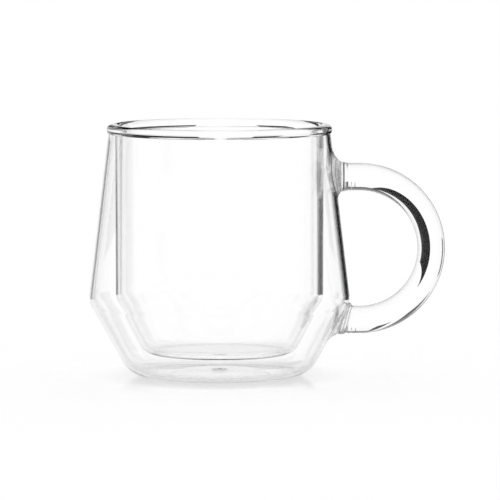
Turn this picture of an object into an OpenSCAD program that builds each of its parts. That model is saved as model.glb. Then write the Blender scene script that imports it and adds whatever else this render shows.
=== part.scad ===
// A double walled mug of clear glass: a straight inner glass inside a flared outer glass, melted
// together in one bead at the rim, with still air sealed between them, and a bent glass rod for a handle.
// The origin is the middle of the ring that the cup stands on, with the handle towards +X.
// All lengths are in millimetres and all angles in degrees.

/* [Rim] */
// Diameter across the outside of the rim bead
rim_d = 82; // [76:0.5:90]
// Height of the cup, from the table to the top of the bead
cup_h = 91.6; // [84:0.2:104]
// Height of the bead
bead_h = 3.3; // [2.4:0.1:4.4]
// How far the bead stands out past the outer glass
bead_out = 0.5; // [0.3:0.05:1.2]
// How far the bead swells into the mouth
bead_in = 0.2; // [0.05:0.05:0.5]
// Height above the bead's foot at which it is widest
bead_wide_z = 1.3; // [0.6:0.1:1.8]

/* [Outer glass] */
// How far the widest place stands out past the top of this glass, before its corner is rounded
belly_out = 7.2; // [5:0.1:11]
// Height of the widest place
belly_z = 27.3; // [24:0.1:34]
// Rounding of the widest place
belly_round = 8; // [4:0.5:14]
// How far the base's edge lies in from the widest place, before it is rounded
base_in = 15.2; // [12:0.05:18]
// Rounding of the base's edge
base_round = 10; // [6:0.5:12]
// Thickness of the outer glass
shell_t = 1.3; // [1.1:0.1:1.6]
// Width of the flat ring that the cup stands on
ring_w = 2; // [1:0.25:4]
// Height of the hollow under the base
dish_h = 1.2; // [0.8:0.1:2]
// Diameter of the flat middle of that hollow
dish_flat_d = 14; // [9:0.5:20]
// Diameter of the vent hole in the middle of the base
vent_d = 3; // [2:0.25:4]

/* [Inner glass] */
// Gap between the two glasses just under the bead
mouth_gap = 1.3; // [0.6:0.02:3]
// Thickness of the inner glass
liner_t = 1.4; // [1.2:0.1:2.4]
// Height above the outer glass's widest place at which the straight wall turns inwards
shoulder_rise = 1.4; // [0:0.1:8]
// Rounding of that place
shoulder_round = 8; // [4:0.5:14]
// How far the bottom's edge lies in from the straight wall, before it is rounded
foot_in = 10.7; // [9:0.1:15]
// Rounding of the bottom's edge
foot_round = 6; // [4:0.5:8]
// Height of the bottom's underside
foot_z = 8.2; // [6:0.1:12]

/* [Vent seal] */
// Diameter of the drop of glass under the vent hole
seal_d = 5.6; // [4.5:0.1:8]
// How far the drop hangs below the glass
seal_h = 0.8; // [0.4:0.05:0.8]

/* [Handle] */
// Diameter of the glass rod
rod_d = 10; // [8:0.25:12]
// Drop from the rim to the upper leg's centre line
leg_top_drop = 19.1; // [17:0.1:24]
// Drop from the outer glass's widest place to the lower leg's centre line
leg_low_drop = 7; // [6.5:0.1:10]
// Length of the upper leg between its weld and the bend
leg_len = 6.3; // [5:0.1:14]

/* [Welds] */
// Thickness of the melted glass between the wall and the rod's upper end
upper_weld_t = 2.3; // [2:0.1:4]
// Diameter of the upper weld where it spreads on the wall
upper_weld_d = 19.6; // [15:0.2:20]
// Length over which the upper weld spreads
upper_flare = 3.4; // [2.5:0.1:5]
// Thickness of the melted glass between the wall and the rod's lower end
lower_weld_t = 1.3; // [1.2:0.05:3]
// Diameter of the lower weld where it spreads on the wall
lower_weld_d = 21; // [16:0.2:22]
// Length over which the lower weld spreads
lower_flare = 4.5; // [3.5:0.1:6]
// Lean of the rod's lower end, which follows part of the wall's lean
lower_lean = 16; // [8:1:20]
// How far the lower weld sits above the rod's centre line
lower_weld_rise = 0.5; // [0:0.1:1]
// Ridge of a weld round the rod's end
weld_ridge = 0.4; // [0.25:0.05:0.8]

/* [Hidden] */
// The bead's top is fuller than an ellipse, and a weld spreads in nearly a straight slope.
bead_power = 2.3;
flare_power = 0.9;
// A weld's spread goes on past its stated length by this share of it, inside the wall, where it is cut off.
flare_past_share = 0.8;
// Steps in a rounded corner, in the bead, in a flare, and round a circle
arc_steps = 12;
bead_steps = 20;
flare_steps = 8;
fine = 240;

bead_z = cup_h - bead_h;
shell_top_r = rim_d / 2 - bead_out;
belly_r = shell_top_r + belly_out;
base_r = belly_r - base_in;
shoulder_z = belly_z + shoulder_rise;
rod_r = rod_d / 2;
leg_top_z = cup_h - leg_top_drop;
leg_low_z = belly_z - leg_low_drop;
bend_r = (leg_top_z - leg_low_z) / 2;
bend_z = (leg_top_z + leg_low_z) / 2;

// Lean of each straight stretch of wall from the upright, outwards as it rises
upper_lean = atan2(shell_top_r - belly_r, bead_z - belly_z);
lower_wall_lean = atan2(belly_r - base_r, belly_z);

liner_r = shell_top_r - shell_t / cos(upper_lean) - mouth_gap;
liner_in_r = liner_r - liner_t;
foot_r = liner_r - foot_in;
liner_lean = atan2(liner_r - foot_r, shoulder_z - foot_z);

// Centre of the arc that rounds the corner at p between a wall that leans by a above it and by b below it
function corner(p, a, b, radius) =
    let (half = (a - b) / 2, mid = (a + b) / 2)
    [p[0] - radius * cos(mid) / cos(half), p[1] + radius * sin(mid) / cos(half)];

// Points of an arc about c, from angle a to angle b
function arc(c, radius, a, b, steps) =
    [for (i = [0:steps]) let (t = a + (b - a) * i / steps) [c[0] + radius * cos(t), c[1] + radius * sin(t)]];

belly_c = corner([belly_r, belly_z], upper_lean, lower_wall_lean, belly_round);
base_c = corner([base_r, 0], lower_wall_lean, 90, base_round);
ring_r = base_c[0] - ring_w;
shoulder_c = corner([liner_r, shoulder_z], 0, liner_lean, shoulder_round);
foot_c = corner([foot_r, foot_z], liner_lean, 90, foot_round);

// Distance of the outer glass's outside from the axis, on its two straight stretches
function upper_wall_r(z) = shell_top_r + (bead_z - z) * tan(-upper_lean);
function lower_wall_r(z) = base_r + z * tan(lower_wall_lean);

// The hollow under the base, from radius r1 to the ring, with t added to its height
function dish(r1, t) =
    concat([[r1, dish_h + t]],
        [for (i = [0:arc_steps])
            let (s = i / arc_steps, r = dish_flat_d / 2 + (ring_r - dish_flat_d / 2) * s)
            [r, dish_h * (1 + cos(180 * s)) / 2 + t]]);

// The outer glass's profile from radius r1 at the base to the bead, set in by t
function shell_path(r1, t) =
    concat(dish(r1, t),
        arc(base_c, base_round - t, -90, -lower_wall_lean, arc_steps),
        arc(belly_c, belly_round - t, -lower_wall_lean, -upper_lean, arc_steps),
        [[shell_top_r - t / cos(upper_lean), bead_z]]);

// The inner glass's profile from the axis to the bead, set in by t
function liner_path(t) =
    concat([[0, foot_z + t]],
        arc(foot_c, foot_round - t, -90, -liner_lean, arc_steps),
        arc(shoulder_c, shoulder_round - t, -liner_lean, 0, arc_steps),
        [[liner_r - t, bead_z]]);

function reversed(list) = [for (i = [len(list) - 1:-1:0]) list[i]];

// The bead's profile: it swells from the two walls' outer faces and closes over them in a full round top.
function full(t) = pow(max(t, 0), 2 / bead_power);
function bead_path() =
    let (
        out_r = rim_d / 2,
        in_r = liner_in_r - bead_in,
        mid_r = (out_r + in_r) / 2,
        half_w = (out_r - in_r) / 2,
        up = bead_h - bead_wide_z
    )
    concat(
        [for (i = [0:bead_steps / 2 - 1])
            let (t = 180 * i / bead_steps)
            [shell_top_r + bead_out * sin(t), bead_z + bead_wide_z * (1 - cos(t))]],
        [for (i = [0:bead_steps])
            let (t = 180 * i / bead_steps, c = cos(t))
            [mid_r + half_w * (c < 0 ? -full(-c) : full(c)), bead_z + bead_wide_z + up * full(sin(t))]],
        [for (i = [bead_steps / 2 - 1:-1:0])
            let (t = 180 * i / bead_steps)
            [liner_in_r - bead_in * sin(t), bead_z + bead_wide_z * (1 - cos(t))]]);

// The space inside the outer face of the outer glass, which the welds and the rod stop at
module shell_space() {
    rotate_extrude($fn = fine) polygon(concat(shell_path(0, 0), [[0, bead_z]]));
}

module outer_shell() {
    color("aliceblue", 0.35)
        rotate_extrude($fn = fine)
            polygon(concat(shell_path(vent_d / 2, 0), reversed(shell_path(vent_d / 2, shell_t))));
}

module inner_liner() {
    color("aliceblue", 0.35)
        rotate_extrude($fn = fine) polygon(concat(liner_path(0), reversed(liner_path(liner_t))));
}

module rim_bead() {
    color("aliceblue", 0.45)
        rotate_extrude($fn = fine) polygon(bead_path());
}

// A stem that fills the vent hole, with a round drop under it in the hollow of the base
module base_seal() {
    stem_r = vent_d / 2;
    color("aliceblue", 0.5)
        rotate_extrude($fn = fine)
            polygon(concat(
                [[0, dish_h + shell_t], [stem_r, dish_h + shell_t], [stem_r, dish_h]],
                [for (i = [0:arc_steps])
                    let (t = 90 * i / arc_steps)
                    [seal_d / 2 * cos(t), dish_h - seal_h * sin(t)]]));
}

// Moves what stands on z = 0 to the rod's end face, at distance x and height z, leaning by lean,
// so that what points up there points from the end face towards the wall.
module at_rod_end(x, z, lean) {
    translate([x, 0, z]) rotate([0, lean - 90, 0]) children();
}

upper_end_x = upper_wall_r(leg_top_z) + upper_weld_t;
lower_end_x = lower_wall_r(leg_low_z) + lower_weld_t;
bend_x = upper_end_x + leg_len;
// Half the width of the block that keeps the half of the ring away from the cup
reach = bend_r + rod_d;
// Side of the block that cuts the lower leg to its leaning end face
block = rod_d + lower_weld_d;

module handle() {
    color("aliceblue", 0.45)
        difference() {
            union() {
                intersection() {
                    translate([bend_x, 0, bend_z]) rotate([90, 0, 0])
                        rotate_extrude($fn = fine) translate([bend_r, 0]) circle(r = rod_r, $fn = fine);
                    translate([bend_x, -reach, bend_z - reach]) cube([reach, 2 * reach, 2 * reach]);
                }
                translate([bend_x, 0, leg_top_z]) rotate([0, -90, 0])
                    cylinder(h = bend_x - upper_end_x, r = rod_r, $fn = fine);
                translate([bend_x, 0, leg_low_z]) rotate([0, -90, 0])
                    cylinder(h = bend_x - lower_end_x + rod_r, r = rod_r, $fn = fine);
            }
            at_rod_end(lower_end_x, leg_low_z, lower_lean)
                translate([-block / 2, -block / 2, 0]) cube([block, block, block]);
        }
}

// A weld: melted glass that spreads from radius start_r at the rod's end face to diameter d over the
// length flare
module weld_flare(start_r, d, flare) {
    past = 1 + flare_past_share;
    rotate_extrude($fn = fine)
        polygon(concat([[0, 0]],
            [for (i = [0:flare_steps])
                let (s = past * i / flare_steps)
                [start_r + (d / 2 - start_r) * pow(s, flare_power), flare * s]],
            [[0, flare * past]]));
}

module upper_weld() {
    color("aliceblue", 0.5)
        difference() {
            at_rod_end(upper_end_x, leg_top_z, 0)
                weld_flare(rod_r + weld_ridge, upper_weld_d, upper_flare);
            shell_space();
        }
}

module lower_weld() {
    color("aliceblue", 0.5)
        difference() {
            at_rod_end(lower_end_x, leg_low_z, lower_lean) translate([lower_weld_rise, 0, 0])
                weld_flare(rod_r / cos(lower_lean) + weld_ridge + lower_weld_rise, lower_weld_d, lower_flare);
            shell_space();
        }
}

outer_shell();
inner_liner();
rim_bead();
base_seal();
handle();
upper_weld();
lower_weld();
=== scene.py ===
"""A double walled mug of clear borosilicate glass with a bent rod handle, dressed for a studio picture.

The two glasses, the rim bead, the vent seal, the rod and its two welds are one melted piece of glass on the
real mug. Here each is a closed solid of its own, and the faces that lie inside a melted joint are clear, so
that light crosses a joint as it does in the real glass.
"""

import logging
import math
from collections.abc import Callable, Sequence
from dataclasses import dataclass, field
from enum import Enum
from functools import cached_property

import bmesh
import bpy
import numpy as np
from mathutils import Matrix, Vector


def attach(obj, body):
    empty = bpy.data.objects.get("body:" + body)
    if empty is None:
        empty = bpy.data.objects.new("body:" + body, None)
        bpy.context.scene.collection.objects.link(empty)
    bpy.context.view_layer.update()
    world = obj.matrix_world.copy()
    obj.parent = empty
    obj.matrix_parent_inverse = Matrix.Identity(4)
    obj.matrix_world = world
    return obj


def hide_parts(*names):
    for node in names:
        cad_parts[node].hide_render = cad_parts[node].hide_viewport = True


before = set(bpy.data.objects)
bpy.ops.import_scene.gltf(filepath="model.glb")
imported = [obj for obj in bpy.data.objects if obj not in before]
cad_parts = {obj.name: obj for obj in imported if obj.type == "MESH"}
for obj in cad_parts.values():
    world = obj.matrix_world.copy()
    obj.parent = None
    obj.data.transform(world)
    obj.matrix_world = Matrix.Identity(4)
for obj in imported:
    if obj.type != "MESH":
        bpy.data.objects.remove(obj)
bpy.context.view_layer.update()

log = logging.getLogger("mug")

MM = 0.001
BODY = "root"
# Points closer than this are one point, in metres: at the seam of a tree's grid, and in a finished mesh
SEAM = 1e-6
DOUBLE = 2e-7
# A face this close to a joint's plane lies in the joint, in millimetres
IN_PLANE = 1e-3
# Added before rounding down, so that a whole number stays itself
NUDGE = 1e-4
# How a node tree is drawn: the nodes in a row, and a node's share of the sheet
NODES_IN_ROW = 8
NODE_WIDTH = 220
NODE_HEIGHT = 400

# A place in a plane and one in space, an outline, rows of places, and what a node's input can be linked to
Flat = tuple[float, float]
Spot = tuple[float, float, float]
Profile = list[Flat]
Points = np.ndarray
Socket = bpy.types.NodeSocket
Source = Socket | bpy.types.Node


def linear(hex_code: str) -> tuple[float, float, float, float]:
    """Turns an sRGB colour into the linear one that shaders take.

    Args:
        hex_code: The colour as #RRGGBB.

    Returns:
        Red, green, blue and an alpha of 1.
    """
    values = [int(hex_code[i : i + 2], 16) / 255 for i in (1, 3, 5)]
    red, green, blue = (v / 12.92 if v <= 0.04045 else ((v + 0.055) / 1.055) ** 2.4 for v in values)
    return red, green, blue, 1.0


def add_node(
    tree: bpy.types.NodeTree,
    kind: str,
    settings: dict[str, object] | None = None,
    inputs: dict[str | int, object] | None = None,
) -> bpy.types.Node:
    """Adds a node with its settings, its socket values and its links, and draws it after the last one.

    Args:
        tree: The node tree.
        kind: The node's type name.
        settings: Properties to set on the node.
        inputs: Values by the input's name or number, or what is linked to it: an output socket, or a node,
            which stands for its first output.

    Returns:
        The new node.
    """
    row, column = divmod(len(tree.nodes), NODES_IN_ROW)
    node = tree.nodes.new(kind)
    node.location = (column * NODE_WIDTH, -row * NODE_HEIGHT)
    for name, value in (settings or {}).items():
        setattr(node, name, value)
    for key, value in (inputs or {}).items():
        if isinstance(value, bpy.types.Node):
            value = value.outputs[0]
        if isinstance(value, Socket):
            tree.links.new(value, node.inputs[key])
        else:
            node.inputs[key].default_value = value
    return node


def empty_material(name: str) -> bpy.types.Material:
    """Makes a material whose node tree is empty.

    Args:
        name: The material's name.

    Returns:
        The material.
    """
    material = bpy.data.materials.new(name)
    material.use_nodes = True
    material.node_tree.nodes.clear()
    return material


class Skin(Enum):
    """Which of a piece's material slots a face takes."""

    GLASS = 0
    JOINT = 1


@dataclass(frozen=True)
class ClearGlass:
    """Borosilicate glass, blown or drawn and polished by the flame: colourless and very smooth, its edges
    grey with painted shade.

    It bends light a little less than window glass, and the flame leaves long, shallow waves. What it mirrors
    is darker than in real glass, so that its lines stand out in a white room. The painted edge shade is a
    dark grey mixed into its colour where its surface turns away. The edge shade's share is how much of its
    clearness is taken away at the very edge, and a thin wall loses none there.
    """

    name: str = "borosilicate_glass"
    colour: str = "#FFFFFF"
    # The grey of the painted edge shade, and how closely it keeps to the edge
    edge_shade_colour: str = "#44474A"
    edge_shade_power: float = 6.0
    edge_shade_share: float = 0.0
    mirror_colour: str = "#949494"
    mirror_level: float = 0.5
    ior: float = 1.47
    roughness: float = 0.0
    wave_mm: float = 16.0
    wave_height_mm: float = 0.004

    def make(self) -> bpy.types.Material:
        """Makes the material.

        Returns:
            The glass, with its flame waves on Object coordinates.
        """
        material = empty_material(self.name)
        tree = material.node_tree
        place = add_node(tree, "ShaderNodeTexCoord")
        waves = add_node(
            tree,
            "ShaderNodeTexNoise",
            {"noise_dimensions": "3D"},
            {"Vector": place.outputs["Object"], "Scale": 1 / (self.wave_mm * MM), "Detail": 1.0},
        )
        bump = add_node(
            tree,
            "ShaderNodeBump",
            inputs={"Strength": 1.0, "Distance": self.wave_height_mm * MM, "Height": waves.outputs["Fac"]},
        )
        # Painted shade: where the surface turns away, a dark grey is mixed into the glass's colour, so its
        # outline is a grey line
        slant = add_node(tree, "ShaderNodeLayerWeight", inputs={"Blend": 0.5})
        depth = add_node(
            tree, "ShaderNodeMath", {"operation": "POWER"}, {0: slant.outputs["Facing"], 1: self.edge_shade_power}
        )
        tint = add_node(
            tree,
            "ShaderNodeMix",
            {"data_type": "RGBA"},
            {"Factor": depth, "A": linear(self.colour), "B": linear(self.edge_shade_colour)},
        )
        clear, mirror = 1.0, self.mirror_level
        if self.edge_shade_share > 0:
            # Painted shade: at a thick rod's edge part of its clearness is taken away, so the painted grey
            # shows and its outline is a thin grey line
            clear = add_node(
                tree, "ShaderNodeMath", {"operation": "MULTIPLY_ADD"}, {0: depth, 1: -self.edge_shade_share, 2: 1.0}
            )
            mirror = add_node(
                tree, "ShaderNodeMath", {"operation": "MULTIPLY"}, {0: clear, 1: self.mirror_level}
            )
        glass = add_node(
            tree,
            "ShaderNodeBsdfPrincipled",
            inputs={
                "Base Color": tint.outputs["Result"],
                "Roughness": self.roughness,
                "IOR": self.ior,
                "Transmission Weight": clear,
                "Specular IOR Level": mirror,
                "Specular Tint": linear(self.mirror_colour),
                "Normal": bump.outputs["Normal"],
            },
        )
        add_node(tree, "ShaderNodeOutputMaterial", inputs={"Surface": glass})
        return material


@dataclass(frozen=True)
class RodGlass(ClearGlass):
    """The same glass drawn to a thick rod, with more painted shade at its very edge: a thin grey line."""

    name: str = "drawn_rod_glass"
    edge_shade_power: float = 2.4
    edge_shade_share: float = 0.9


@dataclass(frozen=True)
class MeltedJoint:
    """The inside of a joint where glass has melted into glass: nothing shows, and light goes straight on."""

    name: str = "melted_joint"
    colour: str = "#FFFFFF"

    def make(self) -> bpy.types.Material:
        """Makes the material.

        Returns:
            A fully clear surface, because no air lies between the two pieces there.
        """
        material = empty_material(self.name)
        tree = material.node_tree
        clear = add_node(tree, "ShaderNodeBsdfTransparent", inputs={"Color": linear(self.colour)})
        add_node(tree, "ShaderNodeOutputMaterial", inputs={"Surface": clear})
        return material


# ---------------------------------------------------------------------------------------------------------
# Outlines


def corner_centre(corner: Flat, above: float, below: float, radius: float) -> Flat:
    """Finds the centre of the arc that rounds a corner of a wall.

    Args:
        corner: The corner's radius and height.
        above: Lean of the wall above it from the upright, in radians.
        below: Lean of the wall below it.
        radius: Radius of the arc.

    Returns:
        The centre's radius and height.
    """
    half, mid = (above - below) / 2, (above + below) / 2
    return (
        corner[0] - radius * math.cos(mid) / math.cos(half),
        corner[1] + radius * math.sin(mid) / math.cos(half),
    )


def arc(centre: Flat, radius: float, start: float, end: float, steps: int) -> Profile:
    """Gives the points of an arc.

    Args:
        centre: The arc's centre.
        radius: Its radius.
        start: Its first angle in radians.
        end: Its last angle.
        steps: How many pieces it is cut into.

    Returns:
        The points, both ends included.
    """
    turns = (start + (end - start) * i / steps for i in range(steps + 1))
    return [(centre[0] + radius * math.cos(t), centre[1] + radius * math.sin(t)) for t in turns]


def straight(start: Flat, end: Flat, steps: int) -> Profile:
    """Gives points on a straight line.

    Args:
        start: One end.
        end: The other end.
        steps: How many pieces the line is cut into.

    Returns:
        The points between the two ends.
    """
    return [
        (start[0] + (end[0] - start[0]) * i / steps, start[1] + (end[1] - start[1]) * i / steps)
        for i in range(1, steps)
    ]


def cubic(points: Sequence[Flat], steps: int) -> Profile:
    """Gives the points of a cubic curve.

    Args:
        points: Its four control points.
        steps: How many pieces it is cut into.

    Returns:
        The points, both ends included.
    """
    found = []
    for i in range(steps + 1):
        t = i / steps
        weights = ((1 - t) ** 3, 3 * t * (1 - t) ** 2, 3 * t * t * (1 - t), t**3)
        found.append(tuple(sum(w * p[k] for w, p in zip(weights, points)) for k in (0, 1)))
    return found


@dataclass(frozen=True)
class MugSizes:
    """The mug's sizes in millimetres, the same as the construction model's.

    A name ends in d for a diameter, r for a radius, t for a thickness, h for a height, w for a width, z for a
    height above the table, x for a distance from the axis, and c for a centre. The weld's lean is given in
    degrees, the leans that are worked out are in radians, and the powers are plain numbers.
    """

    rim_d: float = 82.0
    cup_h: float = 91.6
    bead_h: float = 3.3
    bead_out: float = 0.5
    bead_in: float = 0.2
    bead_wide_z: float = 1.3
    belly_out: float = 7.2
    belly_z: float = 27.3
    belly_round: float = 8.0
    base_in: float = 15.2
    base_round: float = 10.0
    shell_t: float = 1.3
    ring_w: float = 2.0
    dish_h: float = 1.2
    dish_flat_d: float = 14.0
    vent_d: float = 3.0
    mouth_gap: float = 1.3
    liner_t: float = 1.4
    shoulder_rise: float = 1.4
    shoulder_round: float = 8.0
    foot_in: float = 10.7
    foot_round: float = 6.0
    foot_z: float = 8.2
    seal_d: float = 5.6
    seal_h: float = 0.8
    rod_d: float = 10.0
    leg_top_drop: float = 19.1
    leg_low_drop: float = 7.0
    leg_len: float = 6.3
    upper_weld_t: float = 2.3
    upper_weld_d: float = 19.6
    upper_flare: float = 3.4
    lower_weld_t: float = 1.3
    lower_weld_d: float = 21.0
    lower_flare: float = 4.5
    lower_lean: float = 16.0
    lower_weld_rise: float = 0.5
    weld_ridge: float = 0.4
    flare_power: float = 0.9
    bead_power: float = 2.3

    @property
    def bead_z(self) -> float:
        """Height of the bead's foot, where both glasses end."""
        return self.cup_h - self.bead_h

    @property
    def shell_top_r(self) -> float:
        """Outside radius of the outer glass at the bead."""
        return self.rim_d / 2 - self.bead_out

    @property
    def belly_r(self) -> float:
        """Radius of the widest place before it is rounded."""
        return self.shell_top_r + self.belly_out

    @property
    def base_r(self) -> float:
        """Radius of the base before its edge is rounded."""
        return self.belly_r - self.base_in

    @property
    def upper_lean(self) -> float:
        """Lean of the upper wall of the outer glass, in radians, outwards as it rises."""
        return math.atan2(self.shell_top_r - self.belly_r, self.bead_z - self.belly_z)

    @property
    def lower_wall_lean(self) -> float:
        """Lean of the lower wall of the outer glass."""
        return math.atan2(self.belly_r - self.base_r, self.belly_z)

    @property
    def shell_in_top_r(self) -> float:
        """Inside radius of the outer glass at the bead."""
        return self.shell_top_r - self.shell_t / math.cos(self.upper_lean)

    @property
    def liner_r(self) -> float:
        """Outside radius of the inner glass's straight wall."""
        return self.shell_in_top_r - self.mouth_gap

    @property
    def liner_in_r(self) -> float:
        """Inside radius of the inner glass's straight wall."""
        return self.liner_r - self.liner_t

    @property
    def belly_c(self) -> Flat:
        """Centre of the widest place's rounding."""
        corner = (self.belly_r, self.belly_z)
        return corner_centre(corner, self.upper_lean, self.lower_wall_lean, self.belly_round)

    @property
    def base_c(self) -> Flat:
        """Centre of the base edge's rounding."""
        return corner_centre((self.base_r, 0.0), self.lower_wall_lean, math.pi / 2, self.base_round)

    @property
    def leg_top_z(self) -> float:
        """Height of the upper leg's centre line."""
        return self.cup_h - self.leg_top_drop

    @property
    def leg_low_z(self) -> float:
        """Height of the lower leg's centre line."""
        return self.belly_z - self.leg_low_drop

    @property
    def upper_end_x(self) -> float:
        """Distance of the rod's upper end from the cup's axis."""
        wall = self.shell_top_r + (self.bead_z - self.leg_top_z) * math.tan(-self.upper_lean)
        return wall + self.upper_weld_t

    @property
    def lower_end_x(self) -> float:
        """Distance of the rod's lower end from the cup's axis."""
        wall = self.base_r + self.leg_low_z * math.tan(self.lower_wall_lean)
        return wall + self.lower_weld_t

    @property
    def bend_x(self) -> float:
        """Distance of the bend's centre from the cup's axis."""
        return self.upper_end_x + self.leg_len

    def wall_r(self, z: float) -> float:
        """Gives the radius of the outer glass's outside at a height above the base's rounding.

        Args:
            z: The height in millimetres.

        Returns:
            The radius in millimetres.
        """
        centre, radius = self.belly_c, self.belly_round
        if z >= centre[1] + radius * math.sin(-self.upper_lean):
            return self.shell_top_r + (self.bead_z - z) * math.tan(-self.upper_lean)
        if z >= centre[1] - radius * math.sin(self.lower_wall_lean):
            return centre[0] + math.sqrt(radius**2 - (z - centre[1]) ** 2)
        low = self.base_c
        if z >= low[1] - self.base_round * math.sin(self.lower_wall_lean):
            return self.base_r + z * math.tan(self.lower_wall_lean)
        return low[0] + math.sqrt(max(self.base_round**2 - (z - low[1]) ** 2, 0.0))

    def dish(self, start_r: float, lift: float, steps: int, flat_steps: int = 5) -> Profile:
        """Gives the hollow under the base, from a radius out to the ring that the mug stands on.

        Args:
            start_r: Where it starts.
            lift: Height added, which is the glass's thickness for the upper face.
            steps: How many pieces the slope is cut into.
            flat_steps: How many pieces the flat middle is cut into.

        Returns:
            The outline.
        """
        flat = self.dish_flat_d / 2
        ring = self.base_c[0] - self.ring_w
        found = [(start_r, self.dish_h + lift)]
        found += straight(found[0], (flat, self.dish_h + lift), flat_steps)
        for i in range(steps + 1):
            s = i / steps
            found.append((flat + (ring - flat) * s, self.dish_h * (1 + math.cos(math.pi * s)) / 2 + lift))
        return found


SIZES = MugSizes()


# ---------------------------------------------------------------------------------------------------------
# Meshes


@dataclass
class Solid:
    """A closed mesh in the making: points in millimetres, and faces with their skins."""

    points: list[Spot] = field(default_factory=list)
    faces: list[tuple[int, ...]] = field(default_factory=list)
    skins: list[Skin] = field(default_factory=list)

    def ring(self, points: Sequence[Spot]) -> list[int]:
        """Adds a row of points.

        Args:
            points: The points in millimetres.

        Returns:
            Their numbers.
        """
        start = len(self.points)
        self.points += [tuple(p) for p in points]
        return list(range(start, start + len(points)))

    def bridge(self, one: Sequence[int], two: Sequence[int], skin: Skin) -> None:
        """Joins two rings of points, number for number, with four-sided faces.

        Args:
            one: The first ring.
            two: The second ring, with as many points.
            skin: What the faces are.
        """
        for i in range(len(one)):
            j = (i + 1) % len(one)
            self.faces.append((one[i], one[j], two[j], two[i]))
            self.skins.append(skin)

    def fan(self, row: Sequence[int], centre: int, skin: Skin) -> None:
        """Closes a ring to a middle point with triangles.

        Args:
            row: The ring.
            centre: The middle point's number.
            skin: What the faces are.
        """
        for i in range(len(row)):
            self.faces.append((row[i], row[(i + 1) % len(row)], centre))
            self.skins.append(skin)

    def mesh(self, name: str) -> bpy.types.Mesh:
        """Builds the mesh in metres, with its faces turned outwards.

        Args:
            name: The mesh's name.

        Returns:
            The mesh, with sharp edges round the joints so that each skin keeps its own curve.
        """
        mesh = bpy.data.meshes.new(name)
        mesh.from_pydata([tuple(c * MM for c in p) for p in self.points], [], self.faces)
        mesh.polygons.foreach_set("material_index", [s.value for s in self.skins])
        mesh.validate()
        return finish_mesh(mesh)


def finish_mesh(mesh: bpy.types.Mesh, crease: float = math.radians(40)) -> bpy.types.Mesh:
    """Merges doubles, turns the faces outwards, smooths them and marks the sharp edges.

    Args:
        mesh: The mesh.
        crease: Edges that bend by more than this are sharp, and so are those between two skins.

    Returns:
        The same mesh.
    """
    work = bmesh.new()
    work.from_mesh(mesh)
    bmesh.ops.remove_doubles(work, verts=work.verts, dist=DOUBLE)
    bmesh.ops.recalc_face_normals(work, faces=work.faces)
    if work.calc_volume(signed=True) < 0:
        bmesh.ops.reverse_faces(work, faces=work.faces)
    for face in work.faces:
        face.smooth = True
    for edge in work.edges:
        skins = {f.material_index for f in edge.link_faces}
        edge.smooth = len(skins) == 1 and edge.calc_face_angle(0.0) < crease
    work.to_mesh(mesh)
    work.free()
    mesh.update()
    return mesh


def new_tree(
    name: str, inputs: Sequence[tuple[str, str]], result: str
) -> tuple[bpy.types.NodeTree, dict[object, Source]]:
    """Makes a Geometry Nodes tree with its inputs and its output.

    Args:
        name: The tree's name.
        inputs: Each input's name and kind.
        result: The output's name.

    Returns:
        The tree, and its inputs' sockets by name.
    """
    tree = bpy.data.node_groups.new(name, "GeometryNodeTree")
    for label, kind in inputs:
        tree.interface.new_socket(label, in_out="INPUT", socket_type=f"NodeSocket{kind}")
    tree.interface.new_socket(result, in_out="OUTPUT", socket_type="NodeSocketGeometry")
    given = add_node(tree, "NodeGroupInput")
    return tree, {label: given.outputs[label] for label, _ in inputs}


def lay_grid(tree: bpy.types.NodeTree, lines: Source, each: Source) -> tuple[Source, Source, Source]:
    """Adds the nodes that lay out a grid, and that tell where in it each of its points is.

    Args:
        tree: The node tree.
        lines: How many lines the grid has.
        each: How many points each line has.

    Returns:
        The grid, the number of a point's line, and the point's number in that line.
    """
    grid = add_node(tree, "GeometryNodeMeshGrid", inputs={"Vertices X": lines, "Vertices Y": each})
    index = add_node(tree, "GeometryNodeInputIndex")
    ratio = add_node(tree, "ShaderNodeMath", {"operation": "DIVIDE"}, {0: index, 1: each})
    nudged = add_node(tree, "ShaderNodeMath", {"operation": "ADD"}, {0: ratio, 1: NUDGE})
    line = add_node(tree, "ShaderNodeMath", {"operation": "FLOOR"}, {0: nudged})
    before = add_node(tree, "ShaderNodeMath", {"operation": "MULTIPLY"}, {0: line, 1: each})
    spot = add_node(tree, "ShaderNodeMath", {"operation": "SUBTRACT"}, {0: index, 1: before})
    return grid.outputs["Mesh"], line, spot


def settle_grid(tree: bpy.types.NodeTree, grid: Source, place: Source, glass: Source) -> None:
    """Adds the nodes that move a grid's points to their places, close its seam and dress it.

    Args:
        tree: The node tree.
        grid: The grid.
        place: Where each point goes.
        glass: The material.
    """
    moved = add_node(tree, "GeometryNodeSetPosition", inputs={"Geometry": grid, "Position": place})
    merged = add_node(tree, "GeometryNodeMergeByDistance", inputs={"Geometry": moved, "Distance": SEAM})
    whole = add_node(tree, "GeometryNodeRealizeInstances", inputs={0: merged})
    dressed = add_node(tree, "GeometryNodeSetMaterial", inputs={"Geometry": whole, "Material": glass})
    add_node(tree, "NodeGroupOutput", inputs={0: dressed})


TURNED_INPUTS = (("Outline", "Geometry"), ("Steps", "Int"), ("Glass", "Material"))


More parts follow.
